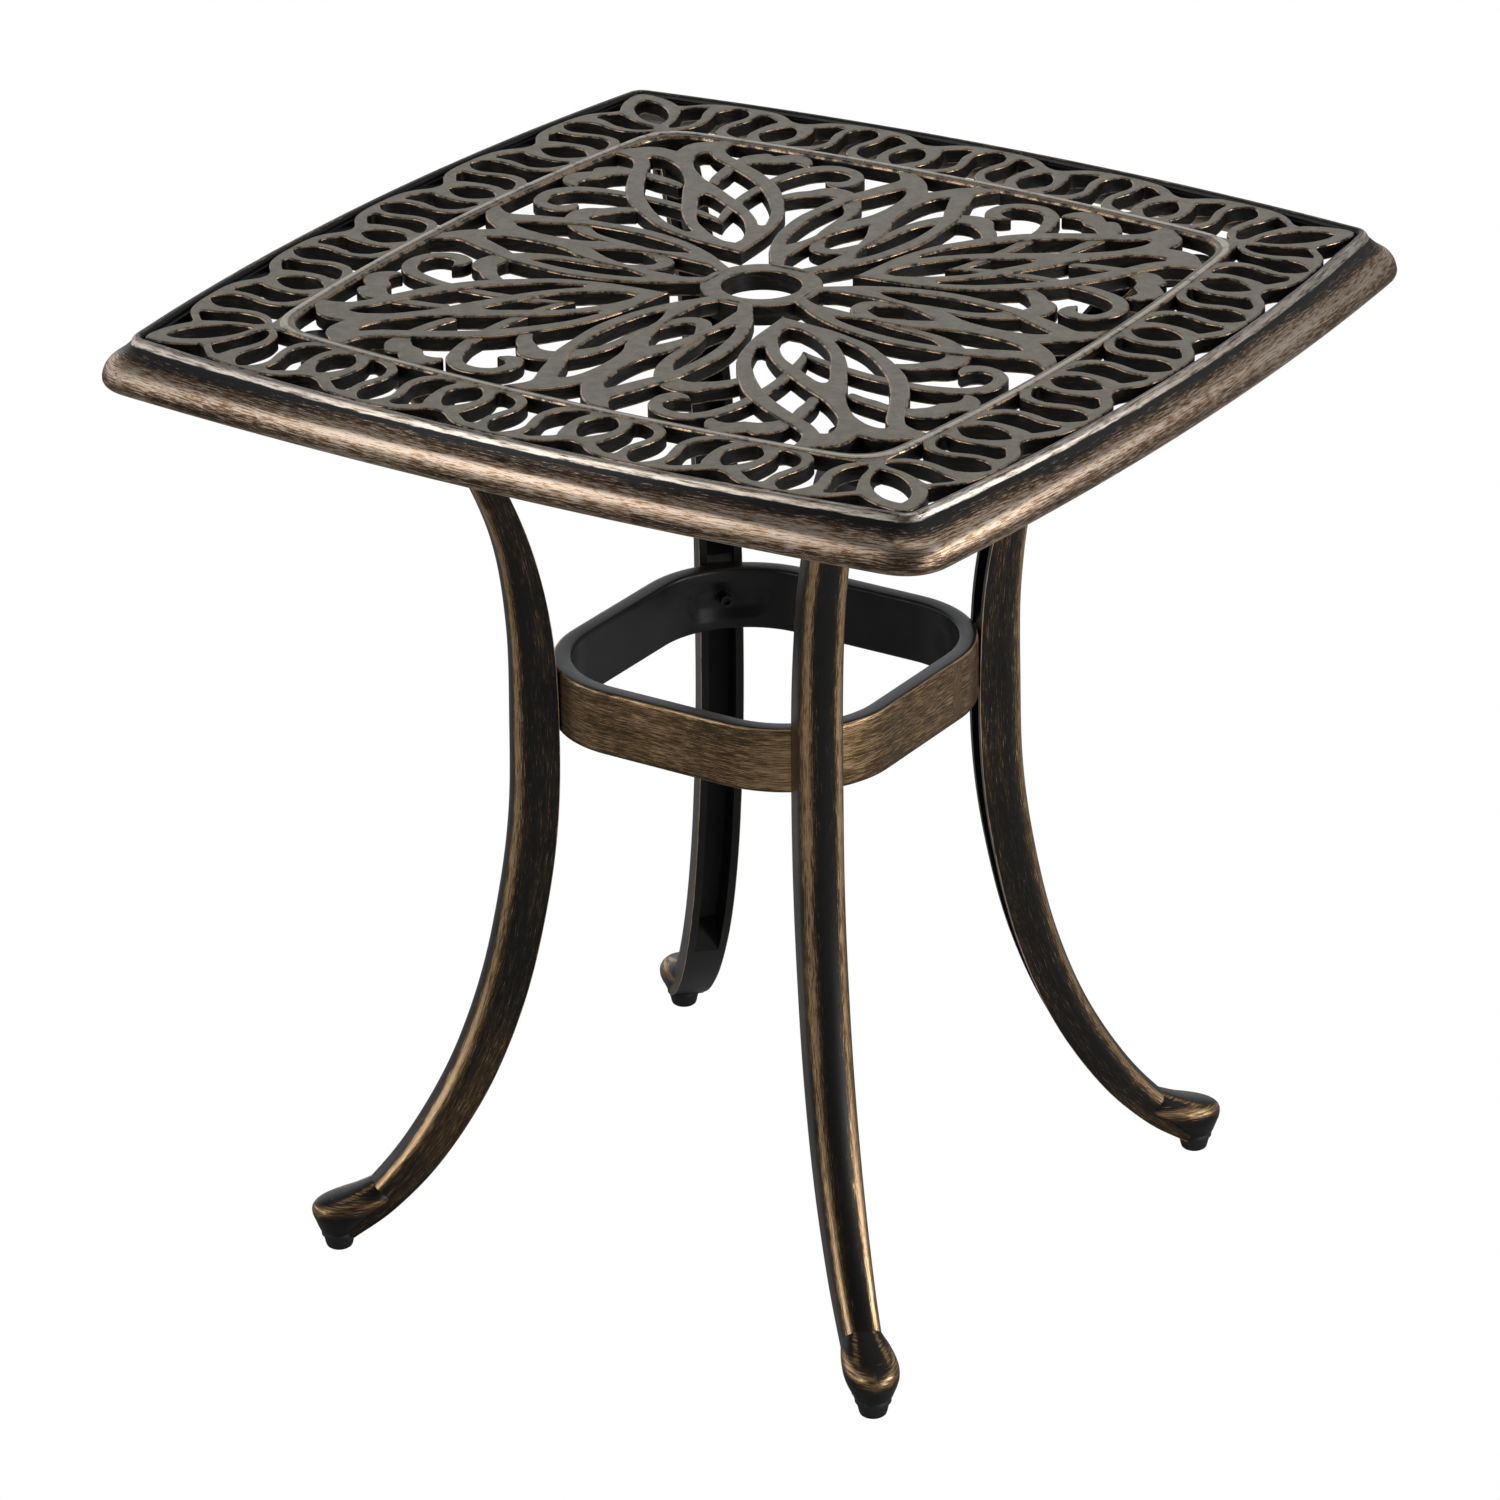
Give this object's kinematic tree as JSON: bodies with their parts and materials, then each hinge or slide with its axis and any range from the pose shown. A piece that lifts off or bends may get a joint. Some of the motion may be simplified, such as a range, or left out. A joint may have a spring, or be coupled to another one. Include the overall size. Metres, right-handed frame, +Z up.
{
  "type": "umbrella table",
  "caption": "Square cast patio table with bowed sides, an openwork petal-and-scroll top with an umbrella hole, curved legs and a ring brace.",
  "frame": {"origin": "centre of the footprint on the floor, level with the bottoms of the glides", "axes": "+Z up along the umbrella hole; X and Y square to the sides of the top, with a leg on each diagonal"},
  "size_m": [0.6998, 0.6998, 0.72],
  "materials": {
    "cast_bronze": "black cast aluminium with brushed antique bronze on its raised faces and edges",
    "bolt_black": "blackened steel",
    "glide_black": "moulded black"
  },
  "bodies": {
    "root": {"table_top": "cast_bronze", "ring_brace": "cast_bronze", "leg_front": "cast_bronze", "glide_front": "glide_black", "leg_washer_front_inner": "bolt_black", "leg_bolt_front_inner": "bolt_black", "leg_washer_front_outer": "bolt_black", "leg_bolt_front_outer": "bolt_black", "brace_washer_front": "bolt_black", "brace_bolt_front": "bolt_black", "leg_right": "cast_bronze", "glide_right": "glide_black", "leg_washer_right_inner": "bolt_black", "leg_bolt_right_inner": "bolt_black", "leg_washer_right_outer": "bolt_black", "leg_bolt_right_outer": "bolt_black", "brace_washer_right": "bolt_black", "brace_bolt_right": "bolt_black", "leg_back": "cast_bronze", "glide_back": "glide_black", "leg_washer_back_inner": "bolt_black", "leg_bolt_back_inner": "bolt_black", "leg_washer_back_outer": "bolt_black", "leg_bolt_back_outer": "bolt_black", "brace_washer_back": "bolt_black", "brace_bolt_back": "bolt_black", "leg_left": "cast_bronze", "glide_left": "glide_black", "leg_washer_left_inner": "bolt_black", "leg_bolt_left_inner": "bolt_black", "leg_washer_left_outer": "bolt_black", "leg_bolt_left_outer": "bolt_black", "brace_washer_left": "bolt_black", "brace_bolt_left": "bolt_black"}
  },
  "joints": []
}
